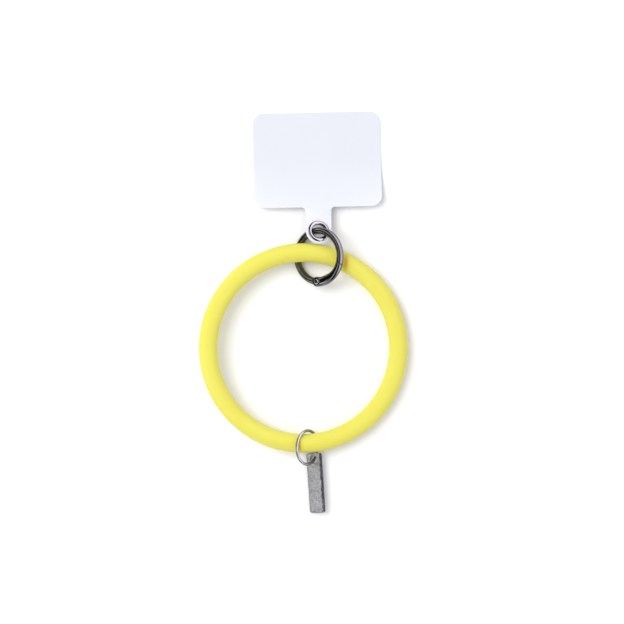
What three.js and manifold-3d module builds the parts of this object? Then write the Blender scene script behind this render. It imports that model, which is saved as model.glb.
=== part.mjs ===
import * as THREE from "three";
import { mergeVertices } from "three/addons/utils/BufferGeometryUtils.js";
import Module from "manifold-3d";

// Phone wrist strap: a soft round bangle with a spring gate ring that carries
// a phone tab, and a jump ring that carries a small metal tag.
// It lies on a table with its outline in X and Y, +Y towards the phone tab,
// and +Z up. Sizes are in millimetres.

const degree = Math.PI / 180;

// Bangle: a soft round tube moulded as a closed ring
const bangleRadius = 40.8;
const tubeRadius = 4;

// Spring gate ring: round wire with a sprung gate between its ends. Its turn
// is its place round the bangle, its inset and lift are its middle's distance
// from the tube's middle, and the room is extra lean for the gate to open
const gateRingRadius = 10.9;
const gateRingWire = 1.5;
const gateRingTurn = 9.3 * degree;
const gateRingInset = 1;
const gateRingLift = 0.8;
const gateRoom = 5.9 * degree;

// Gate: forked at the hinge, thinner towards its tip
const hingeAngle = -90 * degree;
const tipAngle = -11 * degree;
const tipSlant = 45 * degree;
const gateRootWidth = 4.3;
const gateRootDepth = 3.6;
const gateTipRadius = 1.55;
const gateRootSquareness = 3.2;
const gateTaper = 1.1;
const gateOverrun = 14 * degree;
const bossBevel = 0.5;
const tongueThickness = 1.3;
const tongueRadius = 1.85;
const pinRadius = 0.6;
const rivetHeadRadius = 1.15;
const rivetHeadHeight = 0.3;

// Gate spring: a small coil spring in a blind hole of the gate
const springRadius = 0.5;
const springWire = 0.1;
const springOffset = 0.95;
const springLength = 4.4;
const springTurns = 9;
const springLean = 21 * degree;
const springSeatOut = 1.5;

// Eyelet: a rolled grommet with a washer behind the tab
const eyeletHoleRadius = 2.9;
const eyeletRadius = 4.65;
const eyeletCrown = 0.6;
const eyeletWall = 0.35;
const washerThickness = 0.3;
const washerRadius = 4.3;
const rolledLip = 0.3;
const eyeletSlip = 0.25;

// Phone tab: a thin sheet, a rounded pad with a tongue for the eyelet
const padWidth = 55;
const padLength = 41.5;
const padCorner = 4.8;
const tabThickness = 0.5;
const tongueWidth = 11.2;
const neckFillet = 1.6;
const tongueReach = 10.9;
const padFlat = 18;
const padBendRadius = 60;
const tongueTwist = 14 * degree;
const tabYaw = 1.2 * degree;

// Jump ring: a plain wire ring with butted ends, outside the tube's middle
const jumpRingRadius = 7.2;
const jumpRingWire = 0.65;
const jumpRingTurn = 2.35 * degree;
const jumpRingOutset = 1.8;
const jumpRingSeam = 0.15;

// Tag: a plain metal bar with rounded edges, propped up by the jump ring
const tagWidth = 7;
const tagLength = 25.6;
const tagThickness = 1.8;
const tagCorner = 0.8;
const tagBevel = 0.3;
const tagHoleRadius = 1.8;
const tagHoleFromTop = 2.75;
const tagRoll = 33 * degree;
const tagYaw = 3.7 * degree;

// Clearances
const wireGap = 0.1;
const seatGap = 0.12;
const pinGap = 0.05;
const slotGap = 0.1;
const swingGap = 0.3;
const sheetGap = 0.1;

// Facets
const wireSides = 18;
const ringSteps = 72;
const roundSteps = 36;

const wasm = await Module();
wasm.setup();

function paint(color, roughness, metalness, opacity = 1) {
  return new THREE.MeshStandardMaterial({
    color,
    roughness,
    metalness,
    opacity,
    transparent: opacity < 1,
  });
}

const silicone = paint(0xf2cf1d, 0.5, 0);
const gunmetal = paint(0x3a3b3e, 0.18, 1);
const nickel = paint(0xc9c8c4, 0.22, 1);
const satinMetal = paint(0xa9a9a8, 0.38, 1);
const springSteel = paint(0x8d8f92, 0.3, 1);
const clearSheet = paint(0xe9eef2, 0.35, 0, 0.6);

function named(name, shape, material) {
  const geometry = shape.isBufferGeometry ? shape : toGeometry(shape);
  const mesh = new THREE.Mesh(geometry, material);
  mesh.name = name;
  return mesh;
}

function toSolid(geometry) {
  const bare = geometry.clone();
  bare.deleteAttribute("normal");
  bare.deleteAttribute("uv");
  const merged = mergeVertices(bare, 1e-4);
  const mesh = new wasm.Mesh({
    numProp: 3,
    vertProperties: new Float32Array(merged.attributes.position.array),
    triVerts: new Uint32Array(merged.index.array),
  });
  return new wasm.Manifold(mesh);
}

function toGeometry(solid) {
  const mesh = solid.getMesh();
  const geometry = new THREE.BufferGeometry();
  const positions = new THREE.BufferAttribute(mesh.vertProperties, mesh.numProp);
  geometry.setAttribute("position", positions);
  geometry.setIndex(new THREE.BufferAttribute(mesh.triVerts, 1));
  geometry.computeVertexNormals();
  return geometry;
}

// A closed skin over sections that each have the same even number of points,
// with ladders of quads across its two ends
function loft(sections) {
  const sides = sections[0].length;
  const positions = sections.flat().flatMap((point) => point.toArray());
  const faces = [];
  for (let row = 0; row < sections.length - 1; row++) {
    for (let side = 0; side < sides; side++) {
      const here = row * sides + side;
      const next = row * sides + ((side + 1) % sides);
      faces.push(here, next, next + sides, here, next + sides, here + sides);
    }
  }
  const lastRow = (sections.length - 1) * sides;
  for (let side = 0; side < sides / 2 - 1; side++) {
    const across = sides - 1 - side;
    faces.push(side, across - 1, side + 1, side, across, across - 1);
    faces.push(lastRow + side, lastRow + side + 1, lastRow + across - 1);
    faces.push(lastRow + side, lastRow + across - 1, lastRow + across);
  }
  const geometry = new THREE.BufferGeometry();
  geometry.setAttribute("position", new THREE.Float32BufferAttribute(positions, 3));
  geometry.setIndex(faces);
  return geometry;
}

// A round bar along Z about a point of the XY plane
function roundBar(x, y, radius, height) {
  const bar = new THREE.CylinderGeometry(radius, radius, height, roundSteps);
  return bar.rotateX(Math.PI / 2).translate(x, y, 0);
}

// A plate of an outline in the XY plane, centred on Z = 0
function plate(outline, thickness, bevel = 0) {
  const geometry = new THREE.ExtrudeGeometry(outline, {
    depth: thickness - 2 * bevel,
    bevelEnabled: bevel > 0,
    bevelThickness: bevel,
    bevelSize: bevel,
    bevelOffset: -bevel,
    bevelSegments: 2,
    curveSegments: 8,
  });
  return geometry.translate(0, 0, bevel - thickness / 2);
}

function polygon(points) {
  return new THREE.Shape(points.map(([x, y]) => new THREE.Vector2(x, y)));
}

// Distance between a leaning wire ring and the bangle's centre line
function wireDistance(frame, radius) {
  const point = new THREE.Vector3();
  let nearest = Infinity;
  for (let step = 0; step < 360; step++) {
    point.set(radius * Math.cos(step * degree), radius * Math.sin(step * degree), 0);
    point.applyMatrix4(frame);
    const across = Math.hypot(point.x, point.y) - bangleRadius;
    nearest = Math.min(nearest, Math.hypot(across, point.z));
  }
  return nearest;
}

function leaningFrame(centre, lean) {
  const frame = new THREE.Matrix4().makeRotationY(lean);
  return frame.setPosition(centre);
}

function bisect(low, high, isTooHigh) {
  for (let step = 0; step < 50; step++) {
    const middle = (low + high) / 2;
    if (isTooHigh(middle)) {
      high = middle;
    } else {
      low = middle;
    }
  }
  return (low + high) / 2;
}

// The smallest lean at which a wire ring goes round the tube and clears it
function smallestLean(centre, radius, wire) {
  const wanted = tubeRadius + wire + wireGap;
  const clears = (lean) => wireDistance(leaningFrame(centre, lean), radius) > wanted;
  return bisect(15 * degree, 75 * degree, clears);
}

const gateRingOut = bangleRadius - gateRingInset;
const gateRingCentre = new THREE.Vector3(
  gateRingOut * Math.sin(gateRingTurn),
  gateRingOut * Math.cos(gateRingTurn),
  0,
);
const gateRingLean = smallestLean(gateRingCentre, gateRingRadius, gateRingWire) + gateRoom;
gateRingCentre.z = gateRingLift;
const gateRingFrame = leaningFrame(gateRingCentre, -gateRingLean);

const jumpRingOut = bangleRadius + jumpRingOutset;
const jumpRingCentre = new THREE.Vector3(
  jumpRingOut * Math.sin(jumpRingTurn),
  -jumpRingOut * Math.cos(jumpRingTurn),
  0,
);
const jumpRingLean = smallestLean(jumpRingCentre, jumpRingRadius, jumpRingWire);
const jumpRingFrame = leaningFrame(jumpRingCentre, jumpRingLean);

// The table under the strap: it touches the gate ring's low arm, the jump
// ring's low arm and the bangle's right side
const restingCircles = [
  { frame: gateRingFrame, radius: gateRingRadius, wire: gateRingWire },
  { frame: jumpRingFrame, radius: jumpRingRadius, wire: jumpRingWire },
  { frame: new THREE.Matrix4(), radius: bangleRadius, wire: tubeRadius },
];

function lowestPoint({ frame, radius, wire }, up) {
  const centre = new THREE.Vector3().setFromMatrixPosition(frame);
  const normal = new THREE.Vector3().setFromMatrixColumn(frame, 2);
  const down = normal.multiplyScalar(up.dot(normal)).sub(up).normalize();
  return centre.addScaledVector(down, radius).addScaledVector(up, -wire);
}

const tableNormal = new THREE.Vector3(-0.05, -0.02, 1).normalize();
for (let pass = 0; pass < 60; pass++) {
  const [a, b, c] = restingCircles.map((circle) => lowestPoint(circle, tableNormal));
  const normal = b.clone().sub(a).cross(c.clone().sub(a)).normalize();
  tableNormal.lerp(normal, 0.5).normalize();
}
const toUpright = new THREE.Quaternion().setFromUnitVectors(
  tableNormal,
  new THREE.Vector3(0, 0, 1),
);
const bangleHeight = -lowestPoint(restingCircles[0], tableNormal).dot(tableNormal);

const strap = new THREE.Group();
const bangleGroup = new THREE.Group();
bangleGroup.quaternion.copy(toUpright);
bangleGroup.position.set(0, 0, bangleHeight);
strap.add(bangleGroup);

function makeBangle() {
  const geometry = new THREE.TorusGeometry(bangleRadius, tubeRadius, 20, 84);
  return named("bangle", geometry, silicone);
}

// Points in the gate ring's own plane
const onRing = (angle, radius = gateRingRadius) =>
  new THREE.Vector3(radius * Math.cos(angle), radius * Math.sin(angle), 0);

const pinPoint = onRing(hingeAngle);
const tipPoint = onRing(tipAngle);
const cutDepth = 4 * gateRootDepth;
const tipCutAngle = tipAngle - tipSlant;
const tipCutAlong = onRing(tipCutAngle, 1);
const tipCutNormal = onRing(tipCutAngle + Math.PI / 2, 1);

const fromTip = (along, out) =>
  tipPoint.clone().addScaledVector(tipCutAlong, along).addScaledVector(tipCutNormal, out);

// The stretch of the ring that the gate takes, up to the slanted tip joint
function gateStretch() {
  const reach = 2 * gateRingRadius;
  const inner = fromTip(-1.3 * gateRootWidth, seatGap / 2);
  const outer = fromTip(1.3 * gateRootWidth, seatGap / 2);
  const outline = polygon([
    [pinPoint.x, -reach],
    [reach, -reach],
    [reach, outer.y],
    [outer.x, outer.y],
    [inner.x, inner.y],
    [pinPoint.x, pinPoint.y / 2],
  ]);
  return toSolid(plate(outline, cutDepth));
}

// What lies beyond the tip joint, seen from the gate
function pastTip() {
  const size = 2 * gateRootWidth;
  const corners = [
    fromTip(-size, -seatGap / 2),
    fromTip(size, -seatGap / 2),
    fromTip(size, size),
    fromTip(-size, size),
  ];
  return toSolid(plate(polygon(corners.map((corner) => [corner.x, corner.y])), cutDepth));
}

// The blind hole for the spring: a seat in the tongue, then a hole in the gate
const springAxis = onRing(springLean, 1);
const springSeat = pinPoint
  .clone()
  .add(onRing(springLean + Math.PI / 2, springOffset))
  .addScaledVector(springAxis, springSeatOut);

function alongSpring(geometry) {
  geometry.rotateZ(springLean - Math.PI / 2);
  return geometry.translate(springSeat.x, springSeat.y, 0);
}

function springRoom() {
  const radius = springRadius + springWire + slotGap;
  const length = springLength + 2 * slotGap;
  const room = new THREE.CylinderGeometry(radius, radius, length, 20);
  return toSolid(alongSpring(room.translate(0, length / 2 - slotGap, 0)));
}

const pinHole = () =>
  toSolid(roundBar(pinPoint.x, pinPoint.y, pinRadius + pinGap, cutDepth));

function makeRingBody() {
  const shoulder = gateRootWidth / 2 + swingGap;
  const root = gateRingWire / 2;
  const wire = toSolid(
    new THREE.TorusGeometry(gateRingRadius, gateRingWire, wireSides, ringSteps),
  );
  const hingeRoom = toSolid(roundBar(pinPoint.x, pinPoint.y, shoulder, cutDepth));
  const tongueOutline = new THREE.Shape();
  tongueOutline.absarc(pinPoint.x, pinPoint.y, tongueRadius, -Math.PI / 2, Math.PI / 2);
  tongueOutline.lineTo(pinPoint.x - shoulder - root, pinPoint.y + 2 * root);
  tongueOutline.lineTo(pinPoint.x - shoulder - root, pinPoint.y - root);
  const tongue = toSolid(plate(tongueOutline, tongueThickness));
  const body = wire
    .subtract(gateStretch())
    .subtract(hingeRoom)
    .add(tongue)
    .subtract(pinHole())
    .subtract(springRoom());
  return named("ring_body", body, gunmetal);
}

// A gate section: nearly square and deep at the hinge, round at the tip
function gateSection(share) {
  const angle = hingeAngle + share * (tipAngle + gateOverrun - hingeAngle);
  const ease = Math.sin((Math.min(share * gateTaper, 1) * Math.PI) / 2);
  const halfWidth = THREE.MathUtils.lerp(gateRootWidth / 2, gateTipRadius, ease);
  const halfDepth = THREE.MathUtils.lerp(gateRootDepth / 2, gateTipRadius, ease);
  const power = 2 / THREE.MathUtils.lerp(gateRootSquareness, 2, ease);
  const points = [];
  for (let side = 0; side < wireSides; side++) {
    const turn = ((side + 0.5) / wireSides) * 2 * Math.PI;
    const across = Math.sign(Math.cos(turn)) * Math.abs(Math.cos(turn)) ** power;
    const up = Math.sign(Math.sin(turn)) * Math.abs(Math.sin(turn)) ** power;
    const point = onRing(angle, gateRingRadius + halfWidth * across);
    points.push(point.setZ(-halfDepth * up));
  }
  return points;
}

function makeRingGate() {
  const sections = [];
  for (let step = 0; step <= 24; step++) {
    sections.push(gateSection(step / 24));
  }
  const bossOutline = new THREE.Shape();
  bossOutline.absarc(pinPoint.x, pinPoint.y, gateRootWidth / 2, 0, 2 * Math.PI);
  const boss = toSolid(plate(bossOutline, gateRootDepth, bossBevel));
  const slot = toSolid(
    roundBar(
      pinPoint.x,
      pinPoint.y,
      tongueRadius + swingGap,
      tongueThickness + 2 * slotGap,
    ),
  );
  // The sections run past the tip joint, which then cuts them on its slant
  const gate = toSolid(loft(sections))
    .add(boss)
    .subtract(slot)
    .subtract(pinHole())
    .subtract(springRoom())
    .subtract(pastTip());
  return named("ring_gate", gate, gunmetal);
}

// A turned piece: its profile is given as [radius, height] from the bottom up
function turned(profile, steps = roundSteps) {
  const points = profile.map(([radius, height]) => new THREE.Vector2(radius, height));
  return new THREE.LatheGeometry(points, steps).rotateX(Math.PI / 2);
}

function makeHingePin() {
  const underHead = gateRootDepth / 2 + pinGap;
  const top = underHead + rivetHeadHeight;
  const edge = underHead + rivetHeadHeight / 3;
  const half = [
    [pinRadius, underHead],
    [rivetHeadRadius, underHead],
    [rivetHeadRadius, edge],
    [rivetHeadRadius * 0.75, top - rivetHeadHeight * 0.2],
    [0, top],
  ];
  const mirrored = half.map(([radius, height]) => [radius, -height]).reverse();
  const pin = turned([...mirrored, ...half], 24);
  return named("gate_hinge_pin", pin.translate(pinPoint.x, pinPoint.y, 0), satinMetal);
}

class Coil extends THREE.Curve {
  getPoint(share) {
    const turn = share * springTurns * 2 * Math.PI;
    const rise = springWire + share * (springLength - 2 * springWire);
    return new THREE.Vector3(
      springRadius * Math.cos(turn),
      rise,
      springRadius * Math.sin(turn),
    );
  }
}

// A round wire along a curve
function wireAlong(curve, radius, sides, steps) {
  const section = new THREE.Shape();
  for (let side = 0; side < sides; side++) {
    const turn = (side / sides) * 2 * Math.PI;
    const point = [radius * Math.cos(turn), radius * Math.sin(turn)];
    if (side === 0) {
      section.moveTo(...point);
    } else {
      section.lineTo(...point);
    }
  }
  return new THREE.ExtrudeGeometry(section, { steps, extrudePath: curve });
}

function makeSpring() {
  const wire = wireAlong(new Coil(), springWire, 6, springTurns * 10);
  return named("gate_spring", alongSpring(wire), springSteel);
}

const gateRingGroup = new THREE.Group();
gateRingGroup.applyMatrix4(gateRingFrame);
gateRingGroup.add(makeRingBody(), makeRingGate(), makeHingePin(), makeSpring());
bangleGroup.add(makeBangle(), gateRingGroup);

class ArcWire extends THREE.Curve {
  constructor(radius, seam) {
    super();
    this.radius = radius;
    this.halfGap = seam / (2 * radius);
  }
  getPoint(share) {
    const turn = this.halfGap + share * 2 * (Math.PI - this.halfGap);
    return onRing(turn + Math.PI / 2, this.radius);
  }
}

function makeJumpRing() {
  const arc = new ArcWire(jumpRingRadius, jumpRingSeam);
  const wire = wireAlong(arc, jumpRingWire, 12, 56);
  return named("jump_ring", wire, nickel);
}

const jumpRingGroup = new THREE.Group();
jumpRingGroup.applyMatrix4(jumpRingFrame);
jumpRingGroup.add(makeJumpRing());
bangleGroup.add(jumpRingGroup);
strap.updateMatrixWorld(true);

// Tag, with its hole at the origin of its own frame
function makeTag() {
  const half = tagWidth / 2;
  const top = tagHoleFromTop;
  const bottom = top - tagLength;
  const outline = new THREE.Shape();
  outline.absarc(half - tagCorner, top - tagCorner, tagCorner, 0, Math.PI / 2);
  outline.absarc(tagCorner - half, top - tagCorner, tagCorner, Math.PI / 2, Math.PI);
  outline.absarc(tagCorner - half, bottom + tagCorner, tagCorner, Math.PI, 1.5 * Math.PI);
  outline.absarc(half - tagCorner, bottom + tagCorner, tagCorner, 1.5 * Math.PI, 2 * Math.PI);
  const bar = toSolid(plate(outline, tagThickness, tagBevel));
  const hole = toSolid(roundBar(0, 0, tagHoleRadius, 2 * tagThickness));
  return named("tag", bar.subtract(hole), satinMetal);
}

// The tag lies on its left edge, and the jump ring's wire holds its hole up
const tag = makeTag();
const tagTurn = new THREE.Matrix4()
  .makeRotationZ(tagYaw)
  .multiply(new THREE.Matrix4().makeRotationY(-tagRoll));
const tagBox = new THREE.Box3().setFromBufferAttribute(
  tag.geometry.clone().applyMatrix4(tagTurn).attributes.position,
);
const tagHoleHeight = -tagBox.min.z;
const onJumpRing = (angle) =>
  onRing(angle, jumpRingRadius).applyMatrix4(jumpRingGroup.matrixWorld);
const tagHangAngle = bisect(
  -Math.PI / 2,
  0,
  (angle) => onJumpRing(angle).z < tagHoleHeight,
);
const tagPoint = onJumpRing(tagHangAngle);
tag.applyMatrix4(tagTurn.setPosition(tagPoint.x, tagPoint.y, tagHoleHeight));
strap.add(tag);

// The tab's middle line: flat on the table, a wide bend, then straight up to
// the eyelet, which sits a little inside the gate ring's top because the wire
// curves back on both sides of it
const eyeletAt = padLength + tongueReach;
const eyeletPoint = onRing(Math.PI / 2, gateRingRadius - eyeletSlip).applyMatrix4(
  gateRingGroup.matrixWorld,
);
const bendRise = (slope) =>
  padBendRadius * (1 - Math.cos(slope)) +
  (eyeletAt - padFlat - padBendRadius * slope) * Math.sin(slope);
const wantedRise = eyeletPoint.z - tabThickness / 2;
const tongueSlope = bisect(0, 30 * degree, (slope) => bendRise(slope) > wantedRise);

function tabFrame(distance) {
  const bent = THREE.MathUtils.clamp((distance - padFlat) / padBendRadius, 0, tongueSlope);
  const past = Math.max(distance - padFlat - padBendRadius * tongueSlope, 0);
  const flat = Math.min(distance, padFlat);
  const forward = flat + padBendRadius * Math.sin(bent) + past * Math.cos(bent);
  const rise = padBendRadius * (1 - Math.cos(bent)) + past * Math.sin(bent);
  const twistEnd = eyeletAt - eyeletRadius - swingGap;
  const twist = tongueTwist * THREE.MathUtils.smoothstep(distance, padLength, twistEnd);
  return new THREE.Matrix4()
    .makeTranslation(0, -forward, rise)
    .multiply(new THREE.Matrix4().makeRotationX(-bent))
    .multiply(new THREE.Matrix4().makeRotationY(twist));
}

const quarter = (count) =>
  Array.from({ length: count + 1 }, (_, step) => ((step / count) * Math.PI) / 2);

const evenly = (from, to, count) =>
  Array.from({ length: count - 1 }, (_, step) => from + ((to - from) * (step + 1)) / count);

// Half the tab's width at each distance from the pad's far edge
function tabOutline() {
  const wide = padWidth / 2;
  const narrow = tongueWidth / 2;
  const neckStep = 0.02;
  const neckRoot = padLength + neckStep;
  return [
    ...quarter(6).map((turn) => [
      padCorner * (1 - Math.cos(turn)),
      wide - padCorner * (1 - Math.sin(turn)),
    ]),
    ...evenly(padCorner, padLength - padCorner, 14).map((distance) => [distance, wide]),
    ...quarter(6).map((turn) => [
      padLength - padCorner * (1 - Math.sin(turn)),
      wide - padCorner * (1 - Math.cos(turn)),
    ]),
    ...quarter(4).map((turn) => [
      neckRoot + neckFillet * (1 - Math.cos(turn)),
      narrow + neckFillet * (1 - Math.sin(turn)),
    ]),
    ...evenly(neckRoot + neckFillet, eyeletAt, 7).map((distance) => [distance, narrow]),
    ...quarter(9)
      .slice(0, -1)
      .map((turn) => [eyeletAt + narrow * Math.sin(turn), narrow * Math.cos(turn)]),
  ];
}

function tabSection([distance, halfWidth]) {
  const frame = tabFrame(distance);
  const columns = [-1, -0.6, -0.2, 0.2, 0.6, 1];
  const at = (share, height) =>
    new THREE.Vector3(share * halfWidth, 0, height).applyMatrix4(frame);
  const low = columns.map((share) => at(share, -tabThickness / 2));
  const high = columns.map((share) => at(share, tabThickness / 2)).reverse();
  return [...low, ...high];
}

const eyeletFrame = tabFrame(eyeletAt);

function makeTab() {
  const sheet = toSolid(loft(tabOutline().map(tabSection)));
  const holeRadius = eyeletHoleRadius + eyeletWall + sheetGap;
  const hole = roundBar(0, 0, holeRadius, 6 * tabThickness).applyMatrix4(eyeletFrame);
  return named("phone_tab", sheet.subtract(toSolid(hole)), clearSheet);
}

// The eyelet's section: a domed front flange, the shank, and a lip rolled
// out behind the washer
function makeEyelet() {
  const under = tabThickness / 2 + sheetGap;
  const shank = eyeletHoleRadius + eyeletWall;
  const crownMiddle = (eyeletHoleRadius + eyeletRadius) / 2;
  const crownHalf = eyeletRadius - crownMiddle;
  const lipTop = -under - washerThickness - sheetGap;
  const lipRadius = washerThickness + sheetGap + rolledLip + under - tabThickness / 2;
  const crown = [];
  for (let step = 0; step <= 10; step++) {
    const turn = (step / 10) * Math.PI;
    crown.push([
      crownMiddle + crownHalf * Math.cos(turn),
      under + eyeletCrown * Math.sin(turn),
    ]);
  }
  const lip = quarter(5).map((turn) => [
    eyeletHoleRadius + lipRadius * (1 - Math.cos(turn)),
    lipTop - rolledLip + lipRadius * (1 - Math.sin(turn)),
  ]);
  const profile = [
    [shank, under],
    [eyeletRadius, under],
    ...crown.slice(1, -1),
    [eyeletHoleRadius, under],
    ...lip,
    [lip.at(-1)[0], lipTop],
    [shank, lipTop],
    [shank, under],
  ];
  return named("eyelet", turned(profile), nickel);
}

function makeWasher() {
  const top = -tabThickness / 2 - sheetGap;
  const inner = eyeletHoleRadius + eyeletWall + sheetGap;
  const profile = [
    [inner, top - washerThickness],
    [washerRadius, top - washerThickness],
    [washerRadius, top],
    [inner, top],
    [inner, top - washerThickness],
  ];
  return named("eyelet_washer", turned(profile), nickel);
}

const eyeletGroup = new THREE.Group();
eyeletGroup.applyMatrix4(eyeletFrame);
eyeletGroup.add(makeEyelet(), makeWasher());

const tabGroup = new THREE.Group();
const eyeletInTab = new THREE.Vector3().setFromMatrixPosition(eyeletFrame);
tabGroup.rotation.z = tabYaw;
eyeletInTab.applyAxisAngle(new THREE.Vector3(0, 0, 1), tabYaw);
tabGroup.position.copy(eyeletPoint).sub(eyeletInTab);
tabGroup.add(makeTab(), eyeletGroup);
strap.add(tabGroup);

// Origin: the middle of the strap's outline, on the table
const outline = new THREE.Box3().setFromObject(strap, true);
const middle = outline.getCenter(new THREE.Vector3());
const group = new THREE.Group();
strap.position.set(-middle.x, -middle.y, -outline.min.z);
group.add(strap);

export default group;
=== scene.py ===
import math

import bmesh
import bpy
from mathutils import Matrix, Vector


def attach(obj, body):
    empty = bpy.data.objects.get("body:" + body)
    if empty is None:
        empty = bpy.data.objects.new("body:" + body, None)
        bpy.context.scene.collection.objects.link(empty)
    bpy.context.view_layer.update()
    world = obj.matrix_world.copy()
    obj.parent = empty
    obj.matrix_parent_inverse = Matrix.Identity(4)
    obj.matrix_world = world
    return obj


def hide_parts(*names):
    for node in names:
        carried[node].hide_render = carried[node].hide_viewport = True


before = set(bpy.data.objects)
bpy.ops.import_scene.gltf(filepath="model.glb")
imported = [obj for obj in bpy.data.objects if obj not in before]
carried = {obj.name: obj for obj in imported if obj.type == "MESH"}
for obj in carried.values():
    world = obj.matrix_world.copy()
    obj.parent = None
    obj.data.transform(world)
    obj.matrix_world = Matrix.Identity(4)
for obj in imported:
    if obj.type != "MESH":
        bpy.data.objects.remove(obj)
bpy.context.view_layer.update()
print("strap: frame loaded,", len(carried), "nodes")

scene = bpy.context.scene
scene.view_settings.view_transform = "Standard"
scene.view_settings.look = "None"


# small helpers

mergeDistance = 2e-6
sameLimit = 1e-6  # closer than this counts as the same
through = 0.02  # the height of a tool that cuts right through a piece
perMillimetre = 0.001


def clearSelection():
    if bpy.context.mode != "OBJECT":
        bpy.ops.object.mode_set(mode="OBJECT")
    bpy.ops.object.select_all(action="DESELECT")


def pick(piece):
    clearSelection()
    piece.select_set(True)
    bpy.context.view_layer.objects.active = piece


def newest(name):
    piece = bpy.context.object
    piece.name = name
    piece.data.name = name
    return piece


def editSelect(piece, kind, test):
    # kind is VERT, EDGE or FACE, and test gets the element of the mesh
    pick(piece)
    bpy.ops.object.mode_set(mode="EDIT")
    bpy.ops.mesh.select_mode(type=kind)
    bpy.ops.mesh.select_all(action="DESELECT")
    grid = bmesh.from_edit_mesh(piece.data)
    for element in {"VERT": grid.verts, "EDGE": grid.edges, "FACE": grid.faces}[kind]:
        if test(element):
            element.select = True
    grid.select_flush_mode()
    bmesh.update_edit_mesh(piece.data)


def useModifier(piece, kind, **settings):
    pick(piece)
    added = piece.modifiers.new(kind.title(), kind)
    for key, value in settings.items():
        setattr(added, key, value)
    bpy.ops.object.modifier_apply(modifier=added.name)


def cutWith(piece, tool, operation="DIFFERENCE"):
    useModifier(piece, "BOOLEAN", operation=operation, solver="EXACT", object=tool)
    bpy.data.objects.remove(tool)


def isLevel(edge):
    return abs(edge.verts[0].co.z - edge.verts[1].co.z) < sameLimit


def tidyMesh(piece):
    editSelect(piece, "VERT", lambda vert: True)
    bpy.ops.mesh.remove_doubles(threshold=mergeDistance)
    bpy.ops.mesh.normals_make_consistent(inside=False)
    clearSelection()


def smooth(piece, angle):
    pick(piece)
    bpy.ops.object.shade_smooth_by_angle(angle=math.radians(angle))


def seat(origin, xAxis, yAxis):
    # a place in the row frame: an origin in millimetres and two axes
    x = Vector(xAxis).normalized()
    z = x.cross(Vector(yAxis)).normalized()
    y = z.cross(x)
    turn = Matrix((x, y, z)).transposed().to_4x4()
    return Matrix.Translation(Vector(origin) * perMillimetre) @ turn


def settle(piece, place):
    pick(piece)
    piece.matrix_world = place @ piece.matrix_world
    bpy.ops.object.transform_apply(location=True, rotation=True, scale=True)


# the same places as the solids have, with the tag's two directions kept for its finish
tiltedY = (0.0003, 1, 0.0093)
tagAcross = (0.8369, 0.0541, 0.5446)
tagAlong = (-0.0645, 0.9979, 0)
seats = {
    "bangle": seat((0, -15.446, 6.7818), (0.9977, 0.0003, -0.0675), tiltedY),
    "gateRing": seat((6.4835, 23.8237, 7.5107), (0.8342, -0.0054, 0.5514), tiltedY),
    "jumpRing": seat((1.7294, -58.0078, 6.2679), (0.6255, 0.0071, -0.7802), tiltedY),
    "tag": seat((4.6761, -63.4167, 2.5395), tagAcross, tagAlong),
    "tab": seat((5.4094, 85.9113, 0.25), (0.9998, 0.0209, 0), (-0.0209, 0.9998, 0)),
    "eyelet": seat(
        (6.4869, 34.4732, 7.6098), (0.9715, -0.0487, -0.2318), (-0.0201, 0.9582, -0.2856)
    ),
}


# camera, floor and light

shot = {
    "lookAt": (0.00364, -0.00004, 0.007),
    "height": 0.95,
    "viewWidth": 0.26695,
    "sensor": 36,
    "floorSize": 6,
    "floorColor": (0.93, 0.93, 0.935, 1),
}

# it looks straight down
above = Vector(shot["lookAt"]) + Vector((0, 0, shot["height"]))
bpy.ops.object.camera_add(location=above, rotation=(0, 0, 0))
camera = bpy.context.object
camera.name = "shotCamera"
camera.data.sensor_width = shot["sensor"]
camera.data.lens = shot["sensor"] * shot["height"] / shot["viewWidth"]
camera.data.clip_start = 0.01
camera.data.clip_end = 20
scene.camera = camera

clearSelection()
bpy.ops.mesh.primitive_plane_add(size=shot["floorSize"], location=(0, 0, 0))
floor = newest("studioFloor")

# the panel lights only what is matt, and the card only shows in gloss
lamps = {
    "topPanel": {
        "place": (-0.62, 0.26, 1.15),
        "aim": (0, 0, 0),
        "size": 0.8,
        "power": 10.8,
        "gloss": False,
    },
    "tagCard": {
        "place": (-0.165, -0.085, 0.085),
        "aim": (0.004, -0.075, 0),
        "size": 0.10,
        "power": 0.085,
        "gloss": True,
    },
}

for lampName, lamp in lamps.items():
    bpy.ops.object.light_add(type="AREA", location=lamp["place"])
    panel = bpy.context.object
    panel.name = lampName
    panel.data.shape = "SQUARE"
    panel.data.size = lamp["size"]
    panel.data.energy = lamp["power"]
    toAim = Vector(lamp["aim"]) - Vector(lamp["place"])
    panel.rotation_euler = toAim.to_track_quat("-Z", "Y").to_euler()
    panel.visible_camera = False
    panel.visible_glossy = lamp["gloss"]
    panel.visible_diffuse = not lamp["gloss"]

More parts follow.
